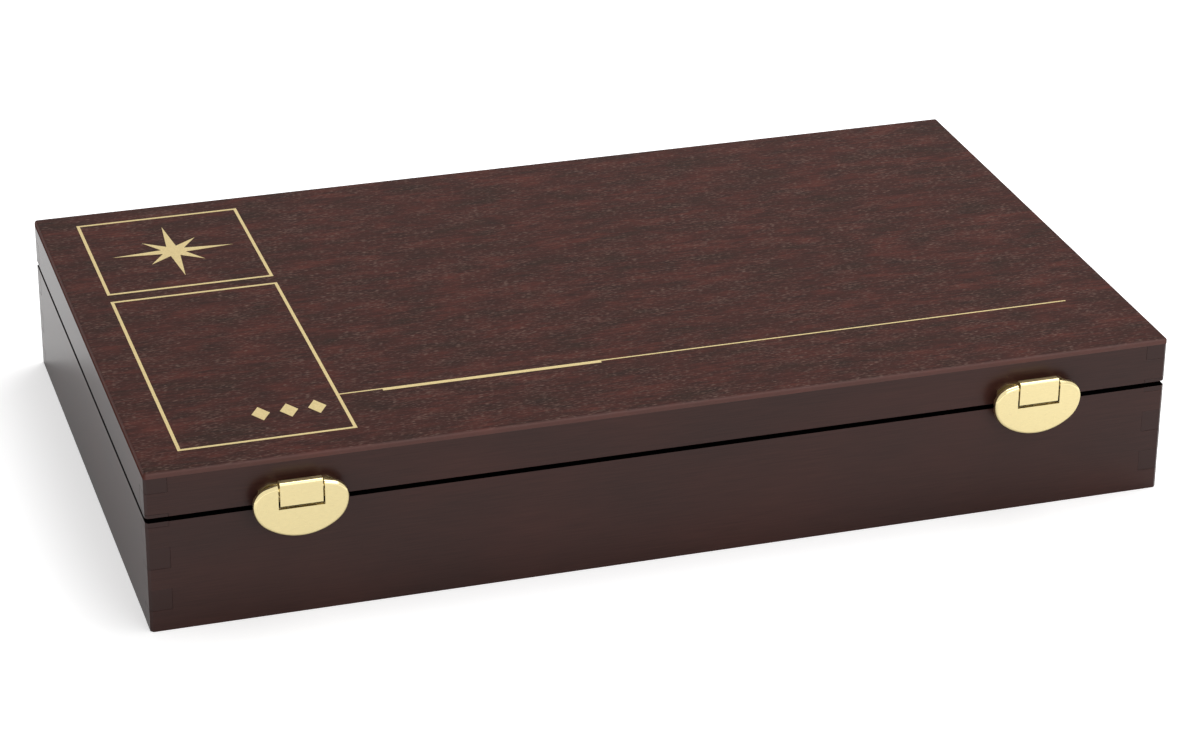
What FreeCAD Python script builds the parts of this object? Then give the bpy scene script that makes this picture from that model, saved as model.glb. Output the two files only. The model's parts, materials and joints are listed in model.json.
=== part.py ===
import FreeCAD, Part
import math
import os

from FreeCAD import Placement, Rotation, Vector

# A hinged wooden case for round pastel sticks. It lies flat, its lid opens on two stop hinges at
# the rear, and two oval clasps at the front hold it shut. Two stacked trays carry the sticks.
# Millimetres. The origin is the middle of the underside, +X runs to the right along the front,
# +Y to the rear and +Z up.

# Sticks
stick_diameter = 9.5
stick_length = 63.5
stick_sides = 8
sticks_per_row = 24

# Trays
slot_side_clearance = 0.3
slot_end_clearance = 0.8
slot_rib = 1.5
slot_depth = 7.0
slot_floor = 6.0
stick_cover = 2.5
tray_end_rim = 4.75
tray_side_rim = 5.1
finger_trough = 23.0
trough_floor = 3.0
tray_clearance = 0.4

# Lift ribbons of the upper tray
ribbon_width = 12.0
ribbon_sheet = 0.5
ribbon_tail = 26.0
ribbon_clearance = 0.3
ribbon_rim_dip = 1.6

# Wooden carcass, jointed as one box and sawn into box and lid
wall = 6.4
finger_height = 6.4
saw_kerf = 2.5
corner_ease = 0.8
lid_height = 13.7
shadow_gap = 1.4
rebate_width = 2.0
closing_clearance = 0.2
bottom_sheet = 3.0
bottom_housing = 3.2

# Top board and the pad under it
top_edge = 1.8
top_round = 1.4
top_field = 1.4
panel_fit = 0.1
pad_thickness = 6.0
pad_clearance = 0.4
pad_bevel = 1.5

# Stop hinges
hinge_inset = 55.0
hinge_length = 28.0
hinge_knuckles = 3
barrel_radius = 1.7
barrel_clearance = 0.3
hinge_pin_radius = 0.7
leaf_sheet = 1.5
leaf_gap = 0.3
leaf_margin = 0.9
heel_depth = 3.4
heel_clearance = 0.1
lid_stop_angle = 100.5
knuckle_gap = 0.15
pin_overhang = 0.4
hinge_screw_spread = 17.0

# Oval clasps: the lever
clasp_inset = 42.0
clasp_half_width = 13.4
clasp_rise = 7.3
clasp_drop = 10.3
arch_end_radius = 5.2
bowl_end_radius = 8.7
clasp_lift = 2.0
clasp_standoff = 5.0
lever_sheet = 0.6
lever_rim_depth = 1.6
lever_rim_sheet = 0.6
lever_bevel = 0.5
lug_sheet = 0.9
lug_radius = 1.4

# Oval clasps: the bracket on the lid and the keeper on the box
base_sheet = 0.8
base_edge_gap = 0.2
bracket_corners = ((0.82, 0.40), (0.63, 0.63))
keeper_corners = ((0.82, 0.49), (0.60, 0.72), (0.34, 0.87))
strap_width = 11.9
strap_sheet = 0.8
strap_round = 0.7
strap_rise = 8.5
fold_depth = 2.2
cheek_slope = 3.4
strap_foot = 1.65
strap_side_gap = 0.5
strap_foot_gap = 0.9
cheek_drop = 1.6
clasp_pin_radius = 0.6
clasp_pin_gap = 0.1
clasp_pin_overhang = 0.2
swing_clearance = 0.3
bracket_screw_spread = 16.0
bracket_screw_height = 3.8
keeper_screw_spread = 14.0
keeper_screw_depth = 3.2
lip_width = 7.0
lip_depth = 4.0
lip_reach = 2.1
lip_bevel = 0.3
hook_width = 5.0
hook_sheet = 0.7
hook_nib = 0.6
hook_flange = 1.2
hook_clearance = 0.3
hook_reach = 2.6

# Countersunk wood screws
screw_head_radius = 1.5
screw_shank_radius = 0.7
screw_length = 5.0
screw_sides = 6
running_clearance = 0.05

# Trays: what follows from the sticks
slot_half_width = stick_diameter / 2 + slot_side_clearance
slot_pitch = 2 * slot_half_width + slot_rib
slot_length = stick_length + 2 * slot_end_clearance
field_length = sticks_per_row * slot_pitch - slot_rib
field_depth = 2 * slot_length + finger_trough
tray_length = field_length + 2 * tray_end_rim
tray_depth = field_depth + 2 * tray_side_rim
tray_height = slot_floor + stick_diameter + stick_cover
row_middle = (finger_trough + slot_length) / 2

# Carcass: the walls stand round the trays
inner_length = tray_length + 2 * tray_clearance
inner_depth = tray_depth + 2 * tray_clearance
case_length = inner_length + 2 * wall
case_depth = inner_depth + 2 * wall
lower_tray_bottom = bottom_sheet
upper_tray_bottom = lower_tray_bottom + tray_height
pad_bottom = upper_tray_bottom + tray_height + pad_clearance
ceiling = pad_bottom + pad_thickness
frame_top = ceiling + top_field
case_height = frame_top + top_edge
lid_bottom = case_height - lid_height
box_rim = lid_bottom - shadow_gap
tongue_top = lid_bottom - closing_clearance
gap_middle = lid_bottom - shadow_gap / 2

# Hinges: the barrel stands behind the rear walls, level with the parting plane
hinge_offset = barrel_radius + barrel_clearance
leaf_seat = wall - leaf_margin
hinge_x = case_length / 2 - hinge_inset
hinge_y = case_depth / 2 + hinge_offset
hinge_z = lid_bottom - closing_clearance / 2
knuckle_pitch = hinge_length / hinge_knuckles

# Clasps, in their own axes: x right, y up from the middle of the shadow gap, z off the wall
clasp_x = case_length / 2 - clasp_inset
notch_half_width = strap_width / 2 + strap_side_gap
notch_foot = strap_foot - strap_foot_gap
lever_back = clasp_standoff - lever_sheet
clasp_pin_z = clasp_standoff - strap_sheet - clasp_pin_radius - clasp_pin_gap
hook_leg_top = -lip_depth - hook_clearance - hook_nib


def crown_radius(rise, end_radius):
    """The long arc of an oval's half that meets its end arcs smoothly."""
    width = clasp_half_width
    return (width**2 + rise**2 - 2 * width * end_radius) / (2 * (rise - end_radius))


# The lever's top edge beside the notch lands just off the base plate when the lever is level
arch_radius = crown_radius(clasp_rise, arch_end_radius)
bowl_radius = crown_radius(clasp_drop, bowl_end_radius)
lever_top = clasp_lift + clasp_rise - arch_radius + math.sqrt(arch_radius**2 - notch_half_width**2)
clasp_pin_y = lever_top - (clasp_pin_z - base_sheet - swing_clearance)


def block(length, depth, bottom, top, x=0.0, y=0.0):
    """An upright block whose plan is centred on x, y."""
    corner = Vector(x - length / 2, y - depth / 2, bottom)
    return Part.makeBox(length, depth, top - bottom, corner)


def upright_edges(shape):
    """The straight edges that run along z."""
    found = []
    for edge in shape.Edges:
        low, high = edge.Vertexes[0].Point, edge.Vertexes[-1].Point
        if abs(low.x - high.x) + abs(low.y - high.y) < 1e-6:
            found.append(edge)
    return found


def edges_at_height(shape, height):
    """The edges that lie wholly at one z."""
    found = []
    for edge in shape.Edges:
        box = edge.BoundBox
        if abs(box.ZMin - height) < 1e-6 and abs(box.ZMax - height) < 1e-6:
            found.append(edge)
    return found


def prism(points, vector):
    """A solid swept straight from a flat closed outline."""
    outline = Part.makePolygon([*points, points[0]])
    return Part.Face(outline).extrude(vector)


def rod(radius, start, end, y=0.0, z=0.0):
    """A round bar along x."""
    return Part.makeCylinder(radius, end - start, Vector(start, y, z), Vector(1, 0, 0))


def single(shape):
    """The one solid in a boolean's result."""
    return shape.Solids[0]


def save(name, shape):
    """Write one node of the assembly."""
    shape.exportStep(os.path.join("parts", name + ".step"))
    print(name, len(shape.Solids), round(shape.Volume, 1))


# Wood screws

def ring(radius, sides, level):
    """A regular outline whose flats stand for a circle."""
    turns = [2 * math.pi * side / sides for side in range(sides + 1)]
    return Part.makePolygon([
        Vector(radius * math.cos(turn), radius * math.sin(turn), level) for turn in turns
    ])


def screw_form(grow):
    """A countersunk screw below its head's flat top, grown all round by a clearance."""
    head = screw_head_radius + grow
    shank = screw_shank_radius + grow
    neck = shank - head
    rings = [ring(head, screw_sides, 0), ring(shank, screw_sides, neck)]
    stem = Part.Face(rings[1]).extrude(Vector(0, 0, -screw_length - grow - neck))
    return Part.makeLoft(rings, True, True).fuse(stem)


def wood_screw():
    return single(screw_form(0))


def screw_hole():
    return screw_form(running_clearance)


def placed(shapes, placement):
    """Copies of shapes moved from a fitting's own axes to the case."""
    return [shape.transformed(placement.toMatrix(), True) for shape in shapes]


def clasp_placement(x):
    """A clasp's own axes: y up the front wall, z out of it."""
    return Placement(Vector(x, -case_depth / 2, gap_middle), Rotation(Vector(1, 0, 0), 90))


def hinge_placement(x):
    """A hinge's own axes: x along the pin, y to the rear, z up."""
    return Placement(Vector(x, hinge_y, hinge_z), Rotation())


def pair_spots(spread, height, level):
    """Two screw heads side by side in a clasp's axes."""
    return [Placement(Vector(x, height, level), Rotation()) for x in (-spread / 2, spread / 2)]


def bracket_screw_spots():
    return pair_spots(bracket_screw_spread, bracket_screw_height, base_sheet)


def keeper_screw_spots():
    return pair_spots(keeper_screw_spread, -keeper_screw_depth, base_sheet)


def leaf_screw_spots(up):
    """Screw heads in a hinge leaf: up is 1 for the lid's leaf and -1 for the box's."""
    turn = Rotation(Vector(1, 0, 0), 180 if up > 0 else 0)
    y = -hinge_offset - leaf_seat / 2
    half = hinge_screw_spread / 2
    return [Placement(Vector(x, y, up * leaf_gap / 2), turn) for x in (-half, half)]


def at_spots(shape, spots):
    """One copy of a shape at each spot."""
    return [shape.transformed(spot.toMatrix(), True) for spot in spots]


# Hinges

def knuckles(numbers):
    """Some of the barrel's knuckles."""
    bars = []
    for number in numbers:
        start = -hinge_length / 2 + number * knuckle_pitch
        bars.append(rod(barrel_radius, start, start + knuckle_pitch))
    return bars


def knuckle_notches(numbers):
    """Square notches in a leaf's edge that clear the other leaf's knuckles."""
    reach = barrel_radius + leaf_gap
    notches = []
    for number in numbers:
        middle = -hinge_length / 2 + (number + 0.5) * knuckle_pitch
        notches.append(block(knuckle_pitch + 2 * knuckle_gap, 2 * reach, -reach, reach, middle))
    return notches


def hinge_leaf(own, other):
    """The box's leaf: a plate in the rim, knuckles, and a bevelled heel that stops the lid."""
    slope = math.tan(math.radians(lid_stop_angle / 2))
    top = -leaf_gap / 2
    under = top - leaf_sheet
    front = -hinge_offset - leaf_seat
    back = -hinge_offset + heel_clearance
    start = -hinge_length / 2
    outline = [
        Vector(start, front, top),
        Vector(start, -top / slope, top),
        Vector(start, heel_depth / slope, -heel_depth),
        Vector(start, back, -heel_depth),
        Vector(start, back, under),
        Vector(start, front, under),
    ]
    leaf = prism(outline, Vector(hinge_length, 0, 0))
    leaf = leaf.fuse(knuckles(own))
    leaf = leaf.cut(knuckle_notches(other))
    return leaf.cut(rod(hinge_pin_radius + running_clearance, -hinge_length, hinge_length))


def hinge_box_leaf():
    numbers = list(range(hinge_knuckles))
    leaf = hinge_leaf(numbers[0::2], numbers[1::2])
    return single(leaf.cut(at_spots(screw_hole(), leaf_screw_spots(-1))))


def hinge_lid_leaf():
    numbers = list(range(hinge_knuckles))
    leaf = hinge_leaf(numbers[1::2], numbers[0::2])
    leaf = leaf.mirror(Vector(0, 0, 0), Vector(0, 0, 1))
    return single(leaf.cut(at_spots(screw_hole(), leaf_screw_spots(1))))


def hinge_pin():
    half = hinge_length / 2 + pin_overhang
    return rod(hinge_pin_radius, -half, half)


def leaf_mortise(up):
    """The recess for a leaf in the edge of a rear wall."""
    reach = leaf_gap / 2 + leaf_sheet
    low, high = (-reach, lid_height) if up < 0 else (-lid_height, reach)
    return block(hinge_length, 2 * leaf_seat, low, high, 0, -hinge_offset)


# Clasps

def half_oval(rise, end_radius, crown, up, inset, level):
    """One half of the oval: two end arcs and a long arc between them, up = 1 or -1."""
    end = end_radius - inset
    long = crown - inset
    side = clasp_half_width - end_radius
    lean = math.asin(side / (crown - end_radius))
    middle = clasp_lift + up * (rise - crown)
    arcs = []
    for hand in (1, -1):
        points = []
        for turn in (0, (math.pi / 2 - lean) / 2, math.pi / 2 - lean):
            x = hand * (side + end * math.cos(turn))
            points.append(Vector(x, clasp_lift + up * end * math.sin(turn), level))
        arcs.append(Part.Arc(*points).toShape())
    x = long * math.sin(lean)
    y = middle + up * long * math.cos(lean)
    crest = Vector(0, middle + up * long, level)
    return [*arcs, Part.Arc(Vector(x, y, level), crest, Vector(-x, y, level)).toShape()]


def oval_face(inset, level):
    """The lever's outline, drawn in by an inset: a low arch on a deeper bowl."""
    arch = half_oval(clasp_rise, arch_end_radius, arch_radius, 1, inset, level)
    bowl = half_oval(clasp_drop, bowl_end_radius, bowl_radius, -1, inset, level)
    return Part.Face(Part.Wire(Part.__sortEdges__([*arch, *bowl])))


def oval_plate(inset, low, high):
    return oval_face(inset, low).extrude(Vector(0, 0, high - low))


def lever_lug(side):
    """An ear beside the notch that turns on the pin."""
    start = side * notch_half_width
    end = side * (notch_half_width + lug_sheet)
    low, high = min(start, end), max(start, end)
    eye = rod(lug_radius, low, high, clasp_pin_y, clasp_pin_z)
    web = Part.makeBox(
        high - low,
        2 * lug_radius,
        lever_back - clasp_pin_z + lever_sheet / 2,
        Vector(low, clasp_pin_y - lug_radius, clasp_pin_z),
    )
    return eye.fuse(web)


def clasp_lever():
    """A dished oval cover with a rolled rim, a notch for the strap and two ears."""
    lever = oval_plate(0, clasp_standoff - lever_rim_depth, clasp_standoff)
    rim = edges_at_height(lever, clasp_standoff)
    lever = lever.makeChamfer(min(lever_bevel, lever_sheet * 0.9), rim)
    lever = lever.cut(oval_plate(lever_rim_sheet, 0, lever_back))
    notch = Part.makeBox(
        2 * notch_half_width,
        clasp_half_width,
        clasp_standoff,
        Vector(-notch_half_width, notch_foot, lever_sheet),
    )
    lever = lever.cut(notch).fuse([lever_lug(-1), lever_lug(1)])
    half = notch_half_width + lug_sheet
    bore = rod(clasp_pin_radius + running_clearance, -half, half, clasp_pin_y, clasp_pin_z)
    return single(lever.cut(bore))


def clasp_pin():
    half = notch_half_width + lug_sheet + clasp_pin_overhang
    return rod(clasp_pin_radius, -half, half, clasp_pin_y, clasp_pin_z)


def strap():
    """The bracket's strap: a front leaf, a short fold on top and two sloping cheeks."""
    half = strap_width / 2
    outer = Part.makeBox(
        strap_width, strap_rise - strap_foot, clasp_standoff, Vector(-half, strap_foot, 0)
    )
    fold = [edge for edge in edges_at_height(outer, clasp_standoff)
            if abs(edge.BoundBox.YMin - strap_rise) < 1e-6]
    outer = outer.makeFillet(strap_round, fold)
    inner = Part.makeBox(
        strap_width - 2 * strap_sheet,
        strap_rise - strap_sheet,
        clasp_standoff - strap_sheet,
        Vector(strap_sheet - half, 0, 0),
    )
    below_cheeks = Part.makeBox(
        strap_width, clasp_pin_y - cheek_drop, clasp_standoff - strap_sheet, Vector(-half, 0, 0)
    )
    fold_back = clasp_standoff - fold_depth
    behind_fold = prism(
        [
            Vector(-half, strap_rise, fold_back),
            Vector(-half, strap_rise, 0),
            Vector(-half, strap_rise - cheek_slope, 0),
        ],
        Vector(strap_width, 0, 0),
    )
    return outer.cut([inner, below_cheeks, behind_fold])


def base_plate(rim, reach, corners):
    """A backing plate hidden behind the oval, from its straight rim out to clipped corners.

    Each corner is given as shares of the oval's half width and of its reach from the middle.
    """
    points = [Vector(corners[0][0] * clasp_half_width, rim, 0)]
    for across, out in corners:
        points.append(Vector(across * clasp_half_width, clasp_lift + out * reach, 0))
    points += [Vector(-point.x, point.y, 0) for point in reversed(points)]
    return prism(points, Vector(0, 0, base_sheet))


def clasp_bracket():
    """The lid's half of a clasp: backing plate and strap, bored for the pin."""
    plate = base_plate(shadow_gap / 2 + base_edge_gap, clasp_rise, bracket_corners)
    plate = plate.cut(at_spots(screw_hole(), bracket_screw_spots()))
    bore = rod(
        clasp_pin_radius + running_clearance, -strap_width, strap_width, clasp_pin_y, clasp_pin_z
    )
    return single(plate.fuse(strap()).cut(bore))


def clasp_keeper():
    """The box's half of a clasp: backing plate with a lip bent out over its window."""
    plate = base_plate(-shadow_gap / 2 - base_edge_gap, -clasp_drop, keeper_corners)
    plate = plate.cut(at_spots(screw_hole(), keeper_screw_spots()))
    start = -lip_width / 2
    window = Part.makeBox(lip_width, lip_reach, base_sheet, Vector(start, -lip_depth - lip_reach, 0))
    reach = base_sheet + lip_reach
    lip = Part.makeBox(lip_width, base_sheet, reach, Vector(start, -lip_depth, 0))
    lip = lip.makeChamfer(lip_bevel, edges_at_height(lip, reach))
    return single(plate.cut(window).fuse(lip))


def clasp_hook():
    """The catch soldered inside the lever: flange, leg and a nib under the keeper's lip."""
    tip = lever_back - hook_reach
    leg_low = hook_leg_top - hook_sheet
    nib_top = hook_leg_top + hook_nib
    start = -hook_width / 2
    outline = [
        Vector(start, leg_low - hook_flange, lever_back),
        Vector(start, leg_low - hook_flange, lever_back - hook_sheet),
        Vector(start, leg_low, lever_back - hook_sheet),
        Vector(start, leg_low, tip),
        Vector(start, nib_top, tip),
        Vector(start, nib_top, tip + hook_sheet),
        Vector(start, hook_leg_top, tip + hook_sheet),
        Vector(start, hook_leg_top, lever_back),
    ]
    return prism(outline, Vector(hook_width, 0, 0))


# Carcass

def board(length, depth, x, y):
    """A full-height wall of the carcass before its fingers are cut."""
    return block(length, depth, 0, case_height, x, y)


def finger_cells(first, sawn):
    """Every second finger of all four corners, as blocks to cut away."""
    cells = []
    count = math.ceil((case_height + saw_kerf) / finger_height)
    for number in range(first, count, 2):
        low = number * finger_height - sawn
        for x in (-1, 1):
            for y in (-1, 1):
                middle = (x * (case_length - wall) / 2, y * (case_depth - wall) / 2)
                cells.append(block(wall, wall, low, low + finger_height, *middle))
    return cells


def eased_case(bottom, top):
    """The case's outside between two heights, with eased corners."""
    body = block(case_length, case_depth, bottom, top)
    return body.makeChamfer(corner_ease, upright_edges(body))


def box_envelope():
    """Outside of the box part: full size up to the gap, then the rebated tongue."""
    tongue = block(
        case_length - 2 * rebate_width, case_depth - 2 * rebate_width, box_rim - wall, tongue_top
    )
    return eased_case(0, box_rim).fuse(tongue)


def side_middle(side):
    return side * (case_length - wall) / 2


def end_middle(side):
    return side * (case_depth - wall) / 2


def carcass_wall(plank, first, sawn, envelope):
    """One wall: fingers cut at its ends, then trimmed to the box's or the lid's outside."""
    return plank.cut(finger_cells(first, sawn)).common(envelope)


def bottom_panel():
    grow = 2 * bottom_housing
    return block(inner_length + grow, inner_depth + grow, 0, bottom_sheet)


def front_screw_holes(spots):
    """Pilot holes behind both clasps."""
    holes = []
    for x in (-clasp_x, clasp_x):
        holes += placed(at_spots(screw_hole(), spots), clasp_placement(x))
    return holes


def hinge_recesses(up):
    """Mortises and pilot holes for both hinges in one rear wall."""
    tools = []
    for x in (-hinge_x, hinge_x):
        holes = at_spots(screw_hole(), leaf_screw_spots(up))
        tools += placed([leaf_mortise(up), *holes], hinge_placement(x))
    return tools


def box_walls():
    """The four walls of the box part by name."""
    envelope = box_envelope()
    panel = bottom_panel()
    front_plank = board(case_length, wall, 0, end_middle(-1))
    rear_plank = board(case_length, wall, 0, end_middle(1))
    front = carcass_wall(front_plank, 1, 0, envelope)
    rear = carcass_wall(rear_plank, 1, 0, envelope)
    walls = {
        "box_front_wall": front.cut([panel, *front_screw_holes(keeper_screw_spots())]),
        "box_rear_wall": rear.cut([panel, *hinge_recesses(-1)]),
    }
    for name, side in (("box_left_wall", -1), ("box_right_wall", 1)):
        plank = board(wall, case_depth, side_middle(side), 0)
        walls[name] = carcass_wall(plank, 0, 0, envelope).cut(panel)
    return walls


def lid_walls():
    """The four walls of the lid by name; its fingers sit lower by the saw's kerf."""
    envelope = eased_case(lid_bottom, frame_top)
    front_plank = board(case_length, wall, 0, end_middle(-1))
    rear_plank = board(case_length, wall, 0, end_middle(1))
    front = carcass_wall(front_plank, 1, saw_kerf, envelope)
    rear = carcass_wall(rear_plank, 1, saw_kerf, envelope)
    walls = {
        "lid_front_wall": front.cut(front_screw_holes(bracket_screw_spots())),
        "lid_rear_wall": rear.cut(hinge_recesses(1)),
    }
    for name, side in (("lid_left_wall", -1), ("lid_right_wall", 1)):
        plank = board(wall, case_depth, side_middle(side), 0)
        walls[name] = carcass_wall(plank, 0, saw_kerf, envelope)
    return walls


def lid_top_board():
    """The veneered board: rounded edge over the frame, rebated field inside it."""
    slab = block(case_length, case_depth, frame_top, case_height)
    slab = slab.makeFillet(min(top_round, top_edge * 0.9), edges_at_height(slab, case_height))
    slab = slab.common(eased_case(frame_top, case_height))
    field = block(
        inner_length - 2 * panel_fit, inner_depth - 2 * panel_fit, ceiling, frame_top
    )
    return single(slab.fuse(field))


def lid_pad():
    """The lined foam pad that keeps the upper sticks in their slots."""
    pad = block(tray_length, tray_depth, pad_bottom, ceiling)
    return pad.makeChamfer(pad_bevel, edges_at_height(pad, pad_bottom))


# Trays and sticks, each tray on its own floor at z = 0

def slot_outline(x, y):
    """Section of a slot: the lower half of an octagon round the stick, open upwards."""
    radius = slot_half_width
    flat = radius * math.tan(math.radians(22.5))
    middle = slot_floor + radius
    top = slot_floor + 2 * radius
    return [
        Vector(x - radius, y, top),
        Vector(x - radius, y, middle - flat),
        Vector(x - flat, y, slot_floor),
        Vector(x + flat, y, slot_floor),
        Vector(x + radius, y, middle - flat),
        Vector(x + radius, y, top),
    ]


def slot_centres():
    first = -(field_length - 2 * slot_half_width) / 2
    return [first + number * slot_pitch for number in range(sticks_per_row)]


def tray():
    """A foam tray: rim, sunk field, one slot for each stick and a trough for the fingers."""
    body = block(tray_length, tray_depth, 0, tray_height)
    field = block(field_length, field_depth, slot_floor + slot_depth, tray_height)
    trough = block(field_length, finger_trough, trough_floor, tray_height)
    slots = []
    for x in slot_centres():
        for y in (-field_depth / 2, finger_trough / 2):
            slots.append(prism(slot_outline(x, y), Vector(0, slot_length, 0)))
    return single(body.cut([field, trough, *slots]))


def ribbon_path(side, grow):
    """Section of a lift ribbon: under the tray, up its end, over the rim and into the trough."""
    end = tray_length / 2
    inner = field_length / 2
    crest = tray_height - ribbon_rim_dip
    sheet = ribbon_sheet + grow
    start = end - ribbon_tail
    half = ribbon_width / 2 + grow
    corners = [
        (start, 0),
        (end, 0),
        (end, crest + sheet),
        (inner - sheet, crest + sheet),
        (inner - sheet, trough_floor + sheet),
        (start, trough_floor + sheet),
        (start, trough_floor),
        (inner, trough_floor),
        (inner, crest),
        (end - sheet, crest),
        (end - sheet, sheet),
        (start, sheet),
    ]
    points = [Vector(side * x, -half, z) for x, z in corners]
    return prism(points, Vector(0, 2 * half, 0))


def upper_tray():
    """The lift-out tray, let in along both ribbons and dipped where they cross its rim."""
    grooves = [ribbon_path(side, ribbon_clearance) for side in (-1, 1)]
    dips = []
    for side in (-1, 1):
        middle = side * (tray_length - tray_end_rim) / 2
        width = ribbon_width + 2 * ribbon_clearance
        dips.append(block(tray_end_rim, width, tray_height - ribbon_rim_dip, tray_height, middle))
    return single(tray().cut([*grooves, *dips]))


def stick_row(side):
    """The sticks of one row, each lying on its slot's floor; eight flats stand for the round."""
    reach = stick_diameter / 2 / math.cos(math.pi / stick_sides)
    end = Part.Face(ring(reach, stick_sides, 0))
    end.rotate(Vector(0, 0, 0), Vector(0, 0, 1), 180 / stick_sides + 90)
    end.rotate(Vector(0, 0, 0), Vector(1, 0, 0), -90)
    sticks = []
    for x in slot_centres():
        start = Vector(x, side * row_middle - stick_length / 2, slot_floor + stick_diameter / 2)
        sticks.append(end.translated(start).extrude(Vector(0, stick_length, 0)))
    return sticks


# Assembly

def raised(shapes, height):
    return placed(shapes, Placement(Vector(0, 0, height), Rotation()))


def save_carcass():
    for name, shape in {**box_walls(), **lid_walls()}.items():
        save(name, single(shape))
    save("box_bottom_panel", bottom_panel())
    save("lid_top_board", lid_top_board())
    save("lid_pad", lid_pad())


def save_contents():
    save("lower_tray", raised([tray()], lower_tray_bottom)[0])
    save("upper_tray", raised([upper_tray()], upper_tray_bottom)[0])
    for name, side in (("left_lift_ribbon", -1), ("right_lift_ribbon", 1)):
        save(name, raised([ribbon_path(side, 0)], upper_tray_bottom)[0])
    for tray_name, height in (("lower", lower_tray_bottom), ("upper", upper_tray_bottom)):
        for row_name, side in (("front", -1), ("rear", 1)):
            sticks = raised(stick_row(side), height)
            save(tray_name + "_tray_" + row_name + "_sticks", Part.Compound(sticks))


def save_hinges():
    for name, x in (("left", -hinge_x), ("right", hinge_x)):
        pieces = placed([hinge_box_leaf(), hinge_lid_leaf(), hinge_pin()], hinge_placement(x))
        for piece, shape in zip(("hinge_box_leaf", "hinge_lid_leaf", "hinge_pin"), pieces):
            save(name + "_" + piece, shape)


def save_clasps():
    names = ("clasp_bracket", "clasp_lever", "clasp_hook", "clasp_pin", "clasp_keeper")
    for name, x in (("left", -clasp_x), ("right", clasp_x)):
        pieces = [clasp_bracket(), clasp_lever(), clasp_hook(), clasp_pin(), clasp_keeper()]
        for piece, shape in zip(names, placed(pieces, clasp_placement(x))):
            save(name + "_" + piece, shape)


def save_screws():
    """Each group of identical screws shares one node."""
    box_leaf, lid_leaf, bracket, keeper = [], [], [], []
    for x in (-hinge_x, hinge_x):
        box_leaf += placed(at_spots(wood_screw(), leaf_screw_spots(-1)), hinge_placement(x))
        lid_leaf += placed(at_spots(wood_screw(), leaf_screw_spots(1)), hinge_placement(x))
    for x in (-clasp_x, clasp_x):
        bracket += placed(at_spots(wood_screw(), bracket_screw_spots()), clasp_placement(x))
        keeper += placed(at_spots(wood_screw(), keeper_screw_spots()), clasp_placement(x))
    save("hinge_box_screws", Part.Compound(box_leaf))
    save("hinge_lid_screws", Part.Compound(lid_leaf))
    save("clasp_bracket_screws", Part.Compound(bracket))
    save("clasp_keeper_screws", Part.Compound(keeper))


os.makedirs("parts", exist_ok=True)
save_carcass()
save_contents()
save_hinges()
save_clasps()
save_screws()
print("case", round(case_length, 2), round(case_depth, 2), round(case_height, 2))
print("hinge axis", round(hinge_y, 3), round(hinge_z, 3))
print("clasp pins", round(clasp_x, 3), round(-case_depth / 2 - clasp_pin_z, 3))
print("clasp pin height", round(gap_middle + clasp_pin_y, 6))
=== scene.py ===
# %% [markdown]
# # A wooden case for round pastels
# The case is a jointed wooden box that was sawn apart into a base and a lid after gluing. It has a
# veneered top board, two oval clasps, two small hinges, and two foam trays of pastel sticks inside.
# This notebook dresses the case in Blender. The construction comes ready made from the frame, so
# every piece here is put where the frame says. We start by loading it and by noting its size.

# %% Load the frame
import json
import math

import bmesh
import bpy
from mathutils import Matrix, Vector, noise


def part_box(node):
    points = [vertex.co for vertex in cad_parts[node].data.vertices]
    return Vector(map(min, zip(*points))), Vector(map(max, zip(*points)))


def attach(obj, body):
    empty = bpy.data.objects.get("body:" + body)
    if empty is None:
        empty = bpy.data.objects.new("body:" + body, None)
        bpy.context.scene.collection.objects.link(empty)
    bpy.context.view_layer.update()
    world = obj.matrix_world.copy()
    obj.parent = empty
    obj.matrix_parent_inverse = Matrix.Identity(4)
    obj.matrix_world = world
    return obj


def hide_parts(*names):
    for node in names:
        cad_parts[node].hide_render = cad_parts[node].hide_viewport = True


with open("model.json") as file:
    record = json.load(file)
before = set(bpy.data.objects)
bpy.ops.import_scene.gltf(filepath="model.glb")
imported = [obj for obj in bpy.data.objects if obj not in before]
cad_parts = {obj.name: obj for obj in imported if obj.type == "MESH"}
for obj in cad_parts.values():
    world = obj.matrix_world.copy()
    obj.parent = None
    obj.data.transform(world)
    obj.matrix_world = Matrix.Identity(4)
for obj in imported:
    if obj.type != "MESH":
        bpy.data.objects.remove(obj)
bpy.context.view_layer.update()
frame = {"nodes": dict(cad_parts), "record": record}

mm = 0.001
case_low, case_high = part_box("lid_top_board")
half_length = case_high.x
half_depth = case_high.y
case_height = case_high.z
print("case in mm:", [round(side / mm, 1) for side in (2 * half_length, 2 * half_depth, case_height)])

# %% [markdown]
# ## The camera
# The case is seen from the front left and from above, with a long lens, so that its edges stay
# nearly parallel. A camera could be aimed with a constraint, but three plain turns say more: the
# heading from the rear direction, the dip below the horizon, and a small roll.

# %% Camera
camera_place = Vector((-0.29176, -0.93645, 0.49514))
camera_heading = math.radians(17.575)
camera_dip = math.radians(25.630)
camera_roll = math.radians(0.508)

lens = bpy.data.cameras.new("camera")
lens.lens = 108.10
lens.sensor_width = 36.0
lens.shift_x = 0.00225
lens.shift_y = -0.02133
camera = bpy.data.objects.new("camera", lens)
turn = Matrix.Rotation(-camera_heading, 4, "Z")
turn @= Matrix.Rotation(math.pi / 2 - camera_dip, 4, "X")
turn @= Matrix.Rotation(camera_roll, 4, "Z")
camera.matrix_world = Matrix.Translation(camera_place) @ turn
bpy.context.collection.objects.link(camera)
bpy.context.scene.camera = camera
bpy.context.scene.view_settings.view_transform = "Standard"
print("camera at", tuple(round(value, 3) for value in camera_place))

# %% [markdown]
# ## Helpers for materials
# Every finish is a node material. A small helper adds a node, sets its sockets by name and links
# other nodes into it, so each finish below reads as a short recipe. Patterns read Object
# coordinates: the pieces keep their origin at the origin of the case, so one metre of pattern is
# one metre of wood.

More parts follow.
